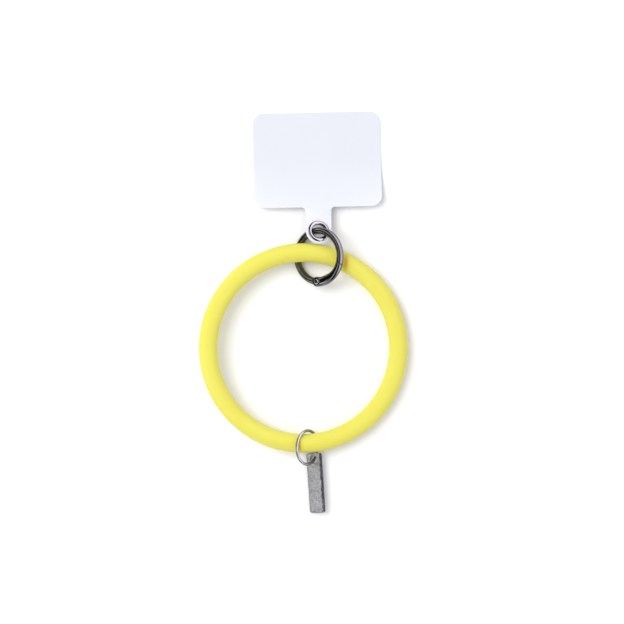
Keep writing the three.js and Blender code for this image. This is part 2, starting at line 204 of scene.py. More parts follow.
# the room: even light on all that is matt, and for gloss a dark ceiling with
# one narrow window on the left and a pale wall on the right
darkWall = (0.03, 0.03, 0.032, 1)
window = (4.0, 4.0, 4.1, 1)
ceiling = (0.02, 0.02, 0.022, 1)
room = {
    "soft": (0.79, 0.785, 0.835, 1),
    "facing": (0.95, 0.31, 0),
    "bands": [
        (0.0, darkWall),
        (0.17, darkWall),
        (0.19, window),
        (0.225, window),
        (0.245, ceiling),
        (0.56, ceiling),
        (0.66, (3.6, 3.45, 3.75, 1)),
        (1.0, (2.9, 2.8, 3.05, 1)),
    ],
}
studio = bpy.data.worlds.new("studioLight")
scene.world = studio
studio.use_nodes = True
skyNodes = studio.node_tree.nodes
skyLinks = studio.node_tree.links
background = skyNodes["Background"]
skyPlace = skyNodes.new("ShaderNodeTexCoord")
skyFacing = skyNodes.new("ShaderNodeVectorMath")
skyFacing.operation = "DOT_PRODUCT"
skyFacing.inputs[1].default_value = room["facing"]
skyAcross = skyNodes.new("ShaderNodeMapRange")
skyAcross.inputs["From Min"].default_value = -1
skyRamp = skyNodes.new("ShaderNodeValToRGB")
skyRay = skyNodes.new("ShaderNodeLightPath")
skyMix = skyNodes.new("ShaderNodeMix")
skyMix.data_type = "RGBA"
skyLinks.new(skyPlace.outputs["Generated"], skyFacing.inputs[0])
skyLinks.new(skyFacing.outputs["Value"], skyAcross.inputs["Value"])
skyLinks.new(skyAcross.outputs["Result"], skyRamp.inputs["Fac"])
skyBands = skyRamp.color_ramp.elements
while len(skyBands) < len(room["bands"]):
    skyBands.new(0.5)
for band, (position, color) in zip(skyBands, room["bands"]):
    band.position = position
    band.color = color
# sockets 6, 7 and 2 are the mix's two colours and its colour result
skyLinks.new(skyRay.outputs["Is Glossy Ray"], skyMix.inputs["Factor"])
skyMix.inputs[6].default_value = room["soft"]
skyLinks.new(skyRamp.outputs["Color"], skyMix.inputs[7])
skyLinks.new(skyMix.outputs[2], background.inputs["Color"])
print("strap: camera, floor and light")


# shared effects


def newGroup(name, inputs, outputs):
    tree = bpy.data.node_groups.new(name, "ShaderNodeTree")
    for label, kind, value in inputs:
        socket = tree.interface.new_socket(name=label, in_out="INPUT", socket_type=kind)
        if value is not None:
            socket.default_value = value
    for label, kind in outputs:
        tree.interface.new_socket(name=label, in_out="OUTPUT", socket_type=kind)
    start = tree.nodes.new("NodeGroupInput")
    end = tree.nodes.new("NodeGroupOutput")
    return tree, start, end


def feed(tree, given, socket):
    # given is another node's output, or a plain value
    if isinstance(given, bpy.types.NodeSocket):
        tree.links.new(given, socket)
    else:
        socket.default_value = given


def noiseIn(tree, place, scale, detail, roughness):
    noise = tree.nodes.new("ShaderNodeTexNoise")
    noise.inputs["Detail"].default_value = detail
    noise.inputs["Roughness"].default_value = roughness
    feed(tree, scale, noise.inputs["Scale"])
    tree.links.new(place, noise.inputs["Vector"])
    return noise.outputs["Fac"]


def mapValue(tree, value, low, high, toLow, toHigh):
    spread = tree.nodes.new("ShaderNodeMapRange")
    feed(tree, value, spread.inputs["Value"])
    feed(tree, low, spread.inputs["From Min"])
    feed(tree, high, spread.inputs["From Max"])
    feed(tree, toLow, spread.inputs["To Min"])
    feed(tree, toHigh, spread.inputs["To Max"])
    return spread.outputs["Result"]


def mixColor(tree, share, first, second):
    mix = tree.nodes.new("ShaderNodeMix")
    mix.data_type = "RGBA"
    for label, given in (("Factor", share), ("A", first), ("B", second)):
        feed(tree, given, next(s for s in mix.inputs if s.name == label and s.enabled))
    return next(s for s in mix.outputs if s.enabled)


def larger(tree, first, second):
    most = tree.nodes.new("ShaderNodeMath")
    most.operation = "MAXIMUM"
    tree.links.new(first, most.inputs[0])
    tree.links.new(second, most.inputs[1])
    return most.outputs["Value"]


def alongAxis(tree, place, axis):
    dot = tree.nodes.new("ShaderNodeVectorMath")
    dot.operation = "DOT_PRODUCT"
    dot.inputs[1].default_value = axis
    tree.links.new(place, dot.inputs[0])
    return dot.outputs["Value"]


def bumpFrom(tree, height, strength, distance):
    bump = tree.nodes.new("ShaderNodeBump")
    bump.inputs["Strength"].default_value = strength
    bump.inputs["Distance"].default_value = distance
    tree.links.new(height, bump.inputs["Height"])
    return bump.outputs["Normal"]


def buildHandling():
    # soft smudges and fine pores: a value for roughness and a height for bump
    tree, start, end = newGroup(
        "handlingMarks",
        [
            ("Vector", "NodeSocketVector", None),
            ("Smudge Scale", "NodeSocketFloat", 180.0),
            ("Pore Scale", "NodeSocketFloat", 2600.0),
            ("Low", "NodeSocketFloat", 0.4),
            ("High", "NodeSocketFloat", 0.6),
        ],
        [
            ("Roughness", "NodeSocketFloat"),
            ("Height", "NodeSocketFloat"),
            ("Smudge", "NodeSocketFloat"),
        ],
    )
    place = start.outputs["Vector"]
    smudge = noiseIn(tree, place, start.outputs["Smudge Scale"], 4.0, 0.6)
    pore = noiseIn(tree, place, start.outputs["Pore Scale"], 2.0, 0.5)
    spread = mapValue(tree, smudge, 0.3, 0.7, start.outputs["Low"], start.outputs["High"])
    tree.links.new(spread, end.inputs["Roughness"])
    tree.links.new(pore, end.inputs["Height"])
    tree.links.new(smudge, end.inputs["Smudge"])
    return tree


def buildPlating():
    # thin plated metal: a tint that drifts, hairline rubs and small pits
    tree, start, end = newGroup(
        "platingWear",
        [
            ("Vector", "NodeSocketVector", None),
            ("Tint", "NodeSocketColor", (0.5, 0.5, 0.5, 1)),
            ("Dull Tint", "NodeSocketColor", (0.4, 0.4, 0.4, 1)),
            ("Low", "NodeSocketFloat", 0.08),
            ("High", "NodeSocketFloat", 0.2),
        ],
        [
            ("Color", "NodeSocketColor"),
            ("Roughness", "NodeSocketFloat"),
            ("Height", "NodeSocketFloat"),
        ],
    )
    place = start.outputs["Vector"]
    drift = noiseIn(tree, place, 260.0, 3.0, 0.55)
    rub = noiseIn(tree, place, 1900.0, 5.0, 0.7)
    share = mapValue(tree, drift, 0.35, 0.7, 0.0, 1.0)
    tint = mixColor(tree, share, start.outputs["Tint"], start.outputs["Dull Tint"])
    spread = mapValue(tree, rub, 0.35, 0.75, start.outputs["Low"], start.outputs["High"])
    tree.links.new(tint, end.inputs["Color"])
    tree.links.new(spread, end.inputs["Roughness"])
    tree.links.new(rub, end.inputs["Height"])
    return tree


handlingMarks = buildHandling()
platingWear = buildPlating()


# finishes


def newFinish(name):
    finish = bpy.data.materials.new(name)
    finish.use_nodes = True
    tree = finish.node_tree
    shader = tree.nodes["Principled BSDF"]
    place = tree.nodes.new("ShaderNodeTexCoord").outputs["Object"]
    return finish, tree, shader, place


def useGroup(tree, group, place, **values):
    box = tree.nodes.new("ShaderNodeGroup")
    box.node_tree = group
    tree.links.new(place, box.inputs["Vector"])
    for label, value in values.items():
        box.inputs[label.replace("_", " ")].default_value = value
    return box


def useScatter(shader, look):
    shader.inputs["Subsurface Weight"].default_value = look["scatterShare"]
    shader.inputs["Subsurface Radius"].default_value = look["scatter"]
    shader.inputs["Subsurface Scale"].default_value = 1.0


def makeFloorFinish():
    finish, tree, shader, place = newFinish("paleFloor")
    shader.inputs["Base Color"].default_value = shot["floorColor"]
    shader.inputs["Roughness"].default_value = 0.9
    shader.inputs["Specular IOR Level"].default_value = 0.1
    return finish


siliconeLook = {
    "lemon": (0.725, 0.69, 0.105, 1),
    "deep": (0.715, 0.64, 0.08, 1),
    "paintedShadowOrange": (0.72, 0.40, 0.015, 1),
    # painted shadow where the two metal rings shade the tube: a middle and its reach along each
    # axis
    "paintedRingShadow": [
        ((0.0181, 0.0212, 0.0085), (0.0013, 0.0042, 0.0060)),
        ((-0.0016, -0.0569, 0.0090), (0.0008, 0.0036, 0.0060)),
    ],
    "paintedShadowStrength": 0.85,
    "scatterShare": 0.25,
    "scatter": (0.0030, 0.0022, 0.0005),
}


def makeSilicone():
    finish, tree, shader, place = newFinish("lemonSilicone")
    marks = useGroup(
        tree, handlingMarks, place, Smudge_Scale=120.0, Pore_Scale=3200.0, Low=0.46, High=0.6
    )
    cloud = noiseIn(tree, place, 70.0, 2.0, 0.5)
    share = mapValue(tree, cloud, 0.35, 0.75, 0.0, 0.45)
    color = mixColor(tree, share, siliconeLook["lemon"], siliconeLook["deep"])
    # painted shadow: an orange tint beside each metal ring, where it shades the tube
    for spot, reach in siliconeLook["paintedRingShadow"]:
        offset = tree.nodes.new("ShaderNodeMapping")
        offset.vector_type = "TEXTURE"
        offset.inputs["Location"].default_value = spot
        offset.inputs["Scale"].default_value = reach
        tree.links.new(place, offset.inputs["Vector"])
        distance = tree.nodes.new("ShaderNodeVectorMath")
        distance.operation = "LENGTH"
        tree.links.new(offset.outputs["Vector"], distance.inputs[0])
        away = distance.outputs["Value"]
        paintedRingShadow = mapValue(tree, away, 0.45, 1.0, siliconeLook["paintedShadowStrength"], 0.0)
        color = mixColor(tree, paintedRingShadow, color, siliconeLook["paintedShadowOrange"])
    tree.links.new(color, shader.inputs["Base Color"])
    tree.links.new(marks.outputs["Roughness"], shader.inputs["Roughness"])
    tree.links.new(bumpFrom(tree, marks.outputs["Height"], 0.12, 0.0002), shader.inputs["Normal"])
    useScatter(shader, siliconeLook)
    shader.inputs["Specular IOR Level"].default_value = 0.35
    return finish


def makePlating(name, tint, dull, low, high, bump):
    finish, tree, shader, place = newFinish(name)
    wear = useGroup(tree, platingWear, place, Tint=tint, Dull_Tint=dull, Low=low, High=high)
    tree.links.new(wear.outputs["Color"], shader.inputs["Base Color"])
    tree.links.new(wear.outputs["Roughness"], shader.inputs["Roughness"])
    tree.links.new(bumpFrom(tree, wear.outputs["Height"], bump, 0.00005), shader.inputs["Normal"])
    shader.inputs["Metallic"].default_value = 1.0
    return finish


sheetLook = {
    "milk": (0.71, 0.735, 0.775, 1),
    "shade": (0.705, 0.72, 0.78, 1),
    "scatterShare": 0.2,
    "scatter": (0.002, 0.002, 0.0024),
}


def makeSheetFinish():
    finish, tree, shader, place = newFinish("milkySheet")
    marks = useGroup(
        tree, handlingMarks, place, Smudge_Scale=90.0, Pore_Scale=2200.0, Low=0.3, High=0.42
    )
    share = mapValue(tree, marks.outputs["Smudge"], 0.3, 0.7, 0.0, 1.0)
    color = mixColor(tree, share, sheetLook["milk"], sheetLook["shade"])
    tree.links.new(color, shader.inputs["Base Color"])
    tree.links.new(marks.outputs["Roughness"], shader.inputs["Roughness"])
    tree.links.new(bumpFrom(tree, marks.outputs["Height"], 0.1, 0.0001), shader.inputs["Normal"])
    useScatter(shader, sheetLook)
    return finish


# the tag's face is mottled, and painted shade makes it dark along its right side, left edge and
# foot.
# Each of these borders has a start and an end, in metres from the tag's hole.
# On the right side noise of up to "ragged" metres is added to the distance
tagLook = {
    "face": (0.585, 0.585, 0.592, 1),
    "faceDull": (0.49, 0.49, 0.496, 1),
    "faceDark": (0.235, 0.235, 0.24, 1),
    # painted shade for the tag's borders, with lighter spots in it
    "edge": (0.02, 0.021, 0.023, 1),
    "paintedEdgeShadeLight": (0.15, 0.152, 0.156, 1),
    "ragged": 0.0016,
    "sideEdge": (0.00378, 0.00403),
    "leftEdge": (-0.00324, -0.00306),
    "footEdge": (-0.02263, -0.02245),
}


def makeTagFinish():
    finish, tree, shader, place = newFinish("hammeredTag")
    wear = useGroup(
        tree, platingWear, place,
        Tint=tagLook["face"], Dull_Tint=tagLook["faceDull"], Low=0.34, High=0.5,
    )
    hole = seats["tag"].translation
    across = alongAxis(tree, place, tagAcross)
    along = alongAxis(tree, place, tagAlong)
    ragged = tree.nodes.new("ShaderNodeMath")
    ragged.operation = "MULTIPLY_ADD"
    ragged.inputs[1].default_value = tagLook["ragged"]
    tree.links.new(noiseIn(tree, place, 900.0, 4.0, 0.7), ragged.inputs[0])
    tree.links.new(across, ragged.inputs[2])

    def bandFrom(value, axis, name, first, last):
        middle = Vector(axis).dot(hole)
        start, end = tagLook[name]
        return mapValue(tree, value, middle + start, middle + end, first, last)

    # painted shade along the right side, the left edge and the foot
    side = bandFrom(ragged.outputs["Value"], tagAcross, "sideEdge", 0.0, 1.0)
    left = bandFrom(across, tagAcross, "leftEdge", 1.0, 0.0)
    foot = bandFrom(along, tagAlong, "footEdge", 1.0, 0.0)
    paintedShadeShare = larger(tree, side, larger(tree, left, foot))

    # lighter spots break up the painted shade on the borders
    paintedShadeBreakup = mapValue(tree, noiseIn(tree, place, 1500.0, 3.0, 0.7), 0.5, 0.6, 0.0, 0.9)
    paintedEdgeShade = mixColor(tree, paintedShadeBreakup, tagLook["edge"], tagLook["paintedEdgeShadeLight"])
    mottle = mapValue(tree, noiseIn(tree, place, 1150.0, 4.0, 0.75), 0.42, 0.62, 0.0, 0.8)
    face = mixColor(tree, mottle, wear.outputs["Color"], tagLook["faceDark"])
    dent = bumpFrom(tree, noiseIn(tree, place, 900.0, 5.0, 0.75), 0.8, 0.0009)
    tree.links.new(mixColor(tree, paintedShadeShare, face, paintedEdgeShade), shader.inputs["Base Color"])
    tree.links.new(wear.outputs["Roughness"], shader.inputs["Roughness"])
    tree.links.new(dent, shader.inputs["Normal"])
    shader.inputs["Metallic"].default_value = 1.0
    return finish


# plated and bare metals: tint, dull tint, lowest and highest roughness, bump
platings = {
    "gunmetal": (
        "gunmetalPlate", (0.15, 0.147, 0.156, 1), (0.12, 0.12, 0.126, 1), 0.06, 0.14, 0.05,
    ),
    # painted shade for the faces of the slanted joint and their bevels
    "joint": ("paintedJointShade", (0.05, 0.05, 0.052, 1), (0.02, 0.02, 0.02, 1), 0.45, 0.7, 0.2),
    "pin": ("brightPin", (0.3, 0.3, 0.3, 1), (0.24, 0.24, 0.24, 1), 0.1, 0.2, 0.1),
    "spring": ("springWire", (0.62, 0.62, 0.63, 1), (0.5, 0.5, 0.5, 1), 0.2, 0.32, 0.1),
    "eyelet": ("eyeletNickel", (0.27, 0.27, 0.275, 1), (0.22, 0.22, 0.225, 1), 0.07, 0.16, 0.06),
    "ring": ("ringNickel", (0.32, 0.317, 0.314, 1), (0.25, 0.25, 0.25, 1), 0.08, 0.18, 0.06),
}
finishes = {
    "floor": makeFloorFinish(),
    "silicone": makeSilicone(),
    **{key: makePlating(*look) for key, look in platings.items()},
    "tag": makeTagFinish(),
    "sheet": makeSheetFinish(),
}
floor.data.materials.append(finishes["floor"])
print("strap: finishes")


def dress(piece, finish, body, slotName, *nodes):
    # a piece that already has its finishes keeps them
    if not piece.data.materials:
        piece.data.materials.append(finishes[finish])
    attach(piece, body)
    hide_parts(*nodes)
    return piece


# bangle: a moulded silicone tube, closed to a ring

bangle = {
    "radius": 0.0408,
    "tube": 0.004,
    "around": 260,
    "across": 48,
    "partingHalf": 0.00018,
    "partingHeight": 0.00005,
}


def makeBangle():
    clearSelection()
    bpy.ops.mesh.primitive_torus_add(
        major_segments=bangle["around"],
        minor_segments=bangle["across"],
        major_radius=bangle["radius"],
        minor_radius=bangle["tube"],
    )
    tube = newest("bangleTube")
    # the mould's parting line runs round the tube's outer and inner middle
    onMiddle = lambda vert: abs(vert.co.z) < sameLimit
    editSelect(tube, "EDGE", lambda edge: all(onMiddle(vert) for vert in edge.verts))
    bpy.ops.mesh.bevel(offset=bangle["partingHalf"], segments=2, affect="EDGES")
    editSelect(tube, "VERT", onMiddle)
    bpy.ops.transform.shrink_fatten(value=-bangle["partingHeight"])
    clearSelection()
    tidyMesh(tube)
    smooth(tube, 60)
    settle(tube, seats["bangle"])
    return dress(tube, "silicone", "bangle", "silicone", "bangle")


bangleTube = makeBangle()
print("strap: bangle,", len(bangleTube.data.polygons), "faces")


# gate ring: wire body with a hinge tongue, and a sprung gate

gateRing = {
    "radius": 0.0109,
    "wire": 0.0015,
    "sides": 40,
    "steps": 200,
    "hinge": math.radians(-90),
    "tip": math.radians(-11),
    "slant": math.radians(45),
    "bodyOverrun": math.radians(12),
    "joint": 0.00012,
    "gateSide": (0.007, 0.006, 0.01),
    "rootWidth": 0.0043,
    "rootDepth": 0.0036,
    "tipRadius": 0.00155,
    "rootSquareness": 3.2,
    "taper": 1.1,
    "overrun": math.radians(14),
    "gateSides": 48,
    "gateSteps": 96,
    "bossBevel": 0.0005,
    "tongueThickness": 0.0013,
    "tongueRadius": 0.00185,
    "neckHeight": 0.0024,
    "neckInward": 0.0003,
    "pinRadius": 0.0006,
    "pinGap": 0.00005,
    "headRadius": 0.00115,
    "headHeight": 0.0003,
    "headEdge": 0.00004,
    "pinSides": 48,
    "swingGap": 0.0003,
    "slotGap": 0.0001,
    "edge": 0.00005,
    "jointEdge": 0.00014,
    "cutMerge": 0.00012,
    "tipReach": 0.004,
    "sharp": 0.4,
}


def onRing(angle, radius=None):
    reach = gateRing["radius"] if radius is None else radius
    return Vector((reach * math.cos(angle), reach * math.sin(angle), 0))


pinPoint = onRing(gateRing["hinge"])
holeRadius = gateRing["pinRadius"] + gateRing["pinGap"]
# the slanted joint's middle, and its normal, which points from the gate to the body
tipPoint = onRing(gateRing["tip"])
tipNormal = onRing(gateRing["tip"] - gateRing["slant"] + math.pi / 2, 1)


def spunWire(name, radius, wire, sides, fromAngle, toAngle, steps):
    # a round wire section, spun about the ring's middle
    clearSelection()
    bpy.ops.mesh.primitive_circle_add(
        vertices=sides,
        radius=wire,
        fill_type="NOTHING",
        location=onRing(fromAngle, radius),
        rotation=(math.pi / 2, 0, fromAngle),
    )
    piece = newest(name)
    pick(piece)
    bpy.ops.object.transform_apply(location=True, rotation=True, scale=True)
    bpy.ops.object.mode_set(mode="EDIT")
    bpy.ops.mesh.select_all(action="SELECT")
    bpy.ops.mesh.spin(steps=steps, angle=fromAngle - toAngle, center=(0, 0, 0), axis=(0, 0, 1))
    clearSelection()
    return piece


def cutPlane(piece, point, normal):
    # everything on the normal's side goes, and the cut is filled
    pick(piece)
    bpy.ops.object.mode_set(mode="EDIT")
    bpy.ops.mesh.select_all(action="SELECT")
    bpy.ops.mesh.bisect(plane_co=point, plane_no=normal, use_fill=True, clear_outer=True)
    clearSelection()


def bar(name, point, radius, height, sides):
    clearSelection()
    bpy.ops.mesh.primitive_cylinder_add(
        vertices=sides, radius=radius, depth=height, location=point
    )
    return newest(name)


def makeRingBody():
    wireStart = gateRing["tip"] - gateRing["bodyOverrun"]
    wireEnd = gateRing["hinge"] + 2 * math.pi
    body = spunWire(
        "gateRingBody", gateRing["radius"], gateRing["wire"], gateRing["sides"],
        wireStart, wireEnd, gateRing["steps"],
    )
    closeLoops(body)
    # a box takes the gate's side of the slanted joint, and nothing further round
    deep = gateRing["gateSide"][1]
    bpy.ops.mesh.primitive_cube_add(
        size=1,
        location=tipPoint + tipNormal * (gateRing["joint"] / 2 - deep / 2),
        rotation=(0, 0, gateRing["tip"] - gateRing["slant"]),
    )
    gateSide = newest("gateSide")
    gateSide.scale = gateRing["gateSide"]
    cutWith(body, gateSide)
    shoulder = gateRing["rootWidth"] / 2 + gateRing["swingGap"]
    cutWith(body, bar("hingeRoom", pinPoint, shoulder, through, sides=64))
    cutWith(body, makeTongue(shoulder), "UNION")
    cutWith(body, bar("pinHole", pinPoint, holeRadius, through, sides=40))
    return body


def closeLoops(piece):
    # fills both open ends of a spun wire
    pick(piece)
    bpy.ops.object.mode_set(mode="EDIT")
    bpy.ops.mesh.select_mode(type="EDGE")
    bpy.ops.mesh.select_all(action="DESELECT")
    bpy.ops.mesh.select_non_manifold(
        extend=False, use_wire=False, use_multi_face=False,
        use_non_contiguous=False, use_verts=False,
    )
    bpy.ops.mesh.fill_holes(sides=0)
    bpy.ops.mesh.select_all(action="SELECT")
    bpy.ops.mesh.normals_make_consistent(inside=False)
    clearSelection()


def makeTongue(shoulder):
    thick = gateRing["tongueThickness"]
    tongue = bar("hingeTongue", pinPoint, gateRing["tongueRadius"], thick, sides=72)
    # the round plate runs back into the wire's end
    bpy.ops.object.transform_apply(location=True, rotation=True, scale=True)
    back = -(shoulder + gateRing["wire"] / 2)
    clearSelection()
    inward = pinPoint.y + gateRing["neckInward"]
    bpy.ops.mesh.primitive_cube_add(size=1, location=(back / 2, inward, 0))
    neck = newest("tongueNeck")
    neck.scale = (-back, gateRing["neckHeight"], thick)
    bpy.ops.object.transform_apply(location=True, rotation=True, scale=True)
    cutWith(tongue, neck, "UNION")
    return tongue


def gateSection(share):
    # half width, half depth and squareness, a share of the way from root to tip
    ease = math.sin(min(share * gateRing["taper"], 1) * math.pi / 2)
    mix = lambda a, b: a + (b - a) * ease
    halfWidth = mix(gateRing["rootWidth"] / 2, gateRing["tipRadius"])
    halfDepth = mix(gateRing["rootDepth"] / 2, gateRing["tipRadius"])
    power = 2 / mix(gateRing["rootSquareness"], 2)
    return halfWidth, halfDepth, power


def makeGateArm():
    first = gateRing["hinge"]
    last = gateRing["tip"] + gateRing["overrun"]
    unitWire = 0.001
    arm = spunWire(
        "gateArm", gateRing["radius"], unitWire, gateRing["gateSides"],
        first, last, gateRing["gateSteps"],
    )
    # each section is drawn out to its own width, depth and squareness
    for vert in arm.data.vertices:
        angle = math.atan2(vert.co.y, vert.co.x)
        share = (angle - first) / (last - first)
        halfWidth, halfDepth, power = gateSection(max(share, 0))
        out = (vert.co.xy.length - gateRing["radius"]) / unitWire
        up = vert.co.z / unitWire
        shaped = lambda value: math.copysign(abs(value) ** power, value)
        flat = onRing(angle, gateRing["radius"] + halfWidth * shaped(out))
        vert.co = (flat.x, flat.y, halfDepth * shaped(up))
    closeLoops(arm)
    boss = bar("hingeBoss", pinPoint, gateRing["rootWidth"] / 2, gateRing["rootDepth"], sides=96)
    bpy.ops.object.transform_apply(location=True, rotation=True, scale=True)
    editSelect(boss, "EDGE", isLevel)
    bpy.ops.mesh.bevel(offset=gateRing["bossBevel"], segments=4, affect="EDGES")
    clearSelection()
    cutWith(arm, boss, "UNION")
    slotThick = gateRing["tongueThickness"] + 2 * gateRing["slotGap"]
    slotRadius = gateRing["tongueRadius"] + gateRing["swingGap"]
    cutWith(arm, bar("tongueSlot", pinPoint, slotRadius, slotThick, sides=96))
    cutWith(arm, bar("gatePinHole", pinPoint, holeRadius, through, sides=40))
    cutPlane(arm, tipPoint - tipNormal * gateRing["joint"] / 2, tipNormal)
    return arm


def softenEdges(piece, width, segments, angle):
    useModifier(
        piece, "BEVEL", width=width, segments=segments, limit_method="ANGLE",
        angle_limit=math.radians(angle), use_clamp_overlap=True,
    )


def spunProfile(name, profile, steps):
    # a turned piece: profile is a closed line of (radius, height) about Z
    clearSelection()
    outline = bpy.data.meshes.new(name)
    points = [(radius, 0, height) for radius, height in profile]
    count = len(points)
    closed = profile[0][0] > 0
    edges = [(i, (i + 1) % count) for i in range(count if closed else count - 1)]
    outline.from_pydata(points, edges, [])
    piece = bpy.data.objects.new(name, outline)
    scene.collection.objects.link(piece)
    pick(piece)
    bpy.ops.object.mode_set(mode="EDIT")
    bpy.ops.mesh.select_all(action="SELECT")
    bpy.ops.mesh.spin(steps=steps, angle=2 * math.pi, center=(0, 0, 0), axis=(0, 0, 1))
    clearSelection()
    tidyMesh(piece)
    return piece


def makePin():
    # a shank with a low dome at each end, whose side is a quarter of its height
    under = gateRing["rootDepth"] / 2 + gateRing["pinGap"]
    radius, high = gateRing["headRadius"], gateRing["headHeight"]
    head = []
    for step in range(9):
        turn = step / 8 * math.pi / 2
        head.append((radius * math.cos(turn), under + high * (0.25 + 0.75 * math.sin(turn))))
    head[-1] = (0, head[-1][1])
    half = [(gateRing["pinRadius"], under), (radius - gateRing["headEdge"], under), *head]
    profile = [(out, -height) for out, height in reversed(half)] + half
    pin = spunProfile("hingePin", profile, gateRing["pinSides"])
    pin.data.transform(Matrix.Translation(pinPoint))
    return pin


ringBody = makeRingBody()
gateArm = makeGateArm()
hingePin = makePin()


def nearTip(point, reach):
    away = point - tipPoint
    return abs(away.dot(tipNormal)) < reach and away.length < gateRing["tipReach"]


def onCut(edge):
    return all(nearTip(vert.co, gateRing["joint"]) for vert in edge.verts)


for piece in (ringBody, gateArm):
    # short edges along the slanted cut are merged before it is bevelled
    editSelect(piece, "VERT", lambda vert: nearTip(vert.co, gateRing["joint"]))
    bpy.ops.mesh.remove_doubles(threshold=gateRing["cutMerge"])
    editSelect(
        piece, "EDGE", lambda edge: onCut(edge) and edge.calc_face_angle(0) > gateRing["sharp"]
    )
    bpy.ops.mesh.bevel(offset=gateRing["jointEdge"], segments=2, affect="EDGES")
    softenEdges(piece, gateRing["edge"], segments=2, angle=35)
    piece.data.materials.append(finishes["gunmetal"])
    piece.data.materials.append(finishes["joint"])
    # the joint's own faces and their bevels get painted shade, dark as the slit between gate and
    # body
    band = gateRing["joint"] / 2 + gateRing["jointEdge"]
    corners = piece.data.vertices
    for face in piece.data.polygons:
        face.material_index = int(all(nearTip(corners[i].co, band) for i in face.vertices))
for piece in (ringBody, gateArm, hingePin):
    smooth(piece, 32)
    settle(piece, seats["gateRing"])
dress(ringBody, "gunmetal", "spring_ring", "gunmetal", "ring_body")
dress(gateArm, "gunmetal", "gate", "gunmetal", "ring_gate")
dress(hingePin, "pin", "gate", "pin_steel", "gate_hinge_pin")
carried["gate_spring"].data.materials.clear()
carried["gate_spring"].data.materials.append(finishes["spring"])
print("strap: gate ring,", len(ringBody.data.polygons), len(gateArm.data.polygons), "faces")


# jump ring: nickel wire with butted ends

jumpRing = {
    "radius": 0.0072,
    "wire": 0.00065,
    "seam": 0.00015,
    "sides": 28,
    "steps": 200,
    "edge": 0.00008,
}


def makeJumpRing():
    halfGap = jumpRing["seam"] / (2 * jumpRing["radius"])
    start = math.pi / 2 + halfGap
    ring = spunWire(
        "jumpRingWire", jumpRing["radius"], jumpRing["wire"], jumpRing["sides"],
        start, start + 2 * (math.pi - halfGap), jumpRing["steps"],
    )
    closeLoops(ring)
    softenEdges(ring, jumpRing["edge"], segments=2, angle=60)
    smooth(ring, 40)
    settle(ring, seats["jumpRing"])
    return dress(ring, "ring", "jump_ring", "ring_nickel", "jump_ring")


jumpWire = makeJumpRing()
print("strap: jump ring,", len(jumpWire.data.polygons), "faces")


# tag: a bare metal bar with rounded edges

tag = {
    "width": 0.007,
    "length": 0.0256,
    "thickness": 0.0018,
    "corner": 0.0008,
    "edge": 0.0003,
    "hole": 0.0018,
    "holeFromTop": 0.00275,
    "holeEdge": 0.00015,
    "sharp": 0.5,
}


def makeTag():
    clearSelection()
    middle = tag["holeFromTop"] - tag["length"] / 2
    bpy.ops.mesh.primitive_cube_add(size=1, location=(0, middle, 0))
    plate = newest("tagPlate")
    plate.scale = (tag["width"], tag["length"], tag["thickness"])
    bpy.ops.object.transform_apply(location=True, rotation=True, scale=True)
    editSelect(plate, "EDGE", lambda edge: not isLevel(edge))
    bpy.ops.mesh.bevel(offset=tag["corner"], segments=8, affect="EDGES")
    clearSelection()
    cutWith(plate, bar("tagHole", (0, 0, 0), tag["hole"], through / 2, sides=72))
    rim = lambda edge: isLevel(edge) and edge.calc_face_angle(0) > tag["sharp"]
    byHole = lambda edge: edge.verts[0].co.length < tag["hole"] * 1.3
    editSelect(plate, "EDGE", lambda edge: rim(edge) and not byHole(edge))
    bpy.ops.mesh.bevel(offset=tag["edge"], segments=4, affect="EDGES")
    editSelect(plate, "EDGE", lambda edge: rim(edge) and byHole(edge))
    bpy.ops.mesh.bevel(offset=tag["holeEdge"], segments=3, affect="EDGES")
    clearSelection()
    smooth(plate, 35)
    settle(plate, seats["tag"])
    return dress(plate, "tag", "tag", "satin_metal", "tag")


tagPlate = makeTag()
print("strap: tag,", len(tagPlate.data.polygons), "faces")


# phone tab: a thin milky sheet with a bent tongue

tab = {
    "width": 0.055,
    "length": 0.0415,
    "corner": 0.0048,
    "thickness": 0.0005,
    "columns": 40,
    "tongue": 0.0112,
    "fillet": 0.0016,
    "shoulder": 0.00001,
    "reach": 0.0109,
    "flat": 0.018,
    "bend": 0.06,
    "twist": math.radians(14),
    "eyeletRadius": 0.00465,
    "twistGap": 0.0003,
    "hole": 0.00335,
    "edge": 0.00012,
}


# distances along the sheet from the pad's far edge
eyeletAt = tab["length"] + tab["reach"]
twistEnd = eyeletAt - tab["eyeletRadius"] - tab["twistGap"]


def tabRise(slope):
    # how high the eyelet is once the sheet has bent up to that slope
    straight = eyeletAt - tab["flat"] - tab["bend"] * slope
    return tab["bend"] * (1 - math.cos(slope)) + straight * math.sin(slope)


def findSlope(rise):
    low, high = 0.0, math.radians(30)
    for step in range(50):
        middle = (low + high) / 2
        if tabRise(middle) > rise:
            high = middle
        else:
            low = middle
    return (low + high) / 2


def tabFrame(distance, slope):
    bent = min(max((distance - tab["flat"]) / tab["bend"], 0), slope)
    past = max(distance - tab["flat"] - tab["bend"] * slope, 0)
    flat = min(distance, tab["flat"])
    forward = flat + tab["bend"] * math.sin(bent) + past * math.cos(bent)
    rise = tab["bend"] * (1 - math.cos(bent)) + past * math.sin(bent)
    share = min(max((distance - tab["length"]) / (twistEnd - tab["length"]), 0), 1)
    turn = tab["twist"] * share * share * (3 - 2 * share)
    return (
        Matrix.Translation((0, -forward, rise))
        @ Matrix.Rotation(-bent, 4, "X")
        @ Matrix.Rotation(turn, 4, "Y")
    )


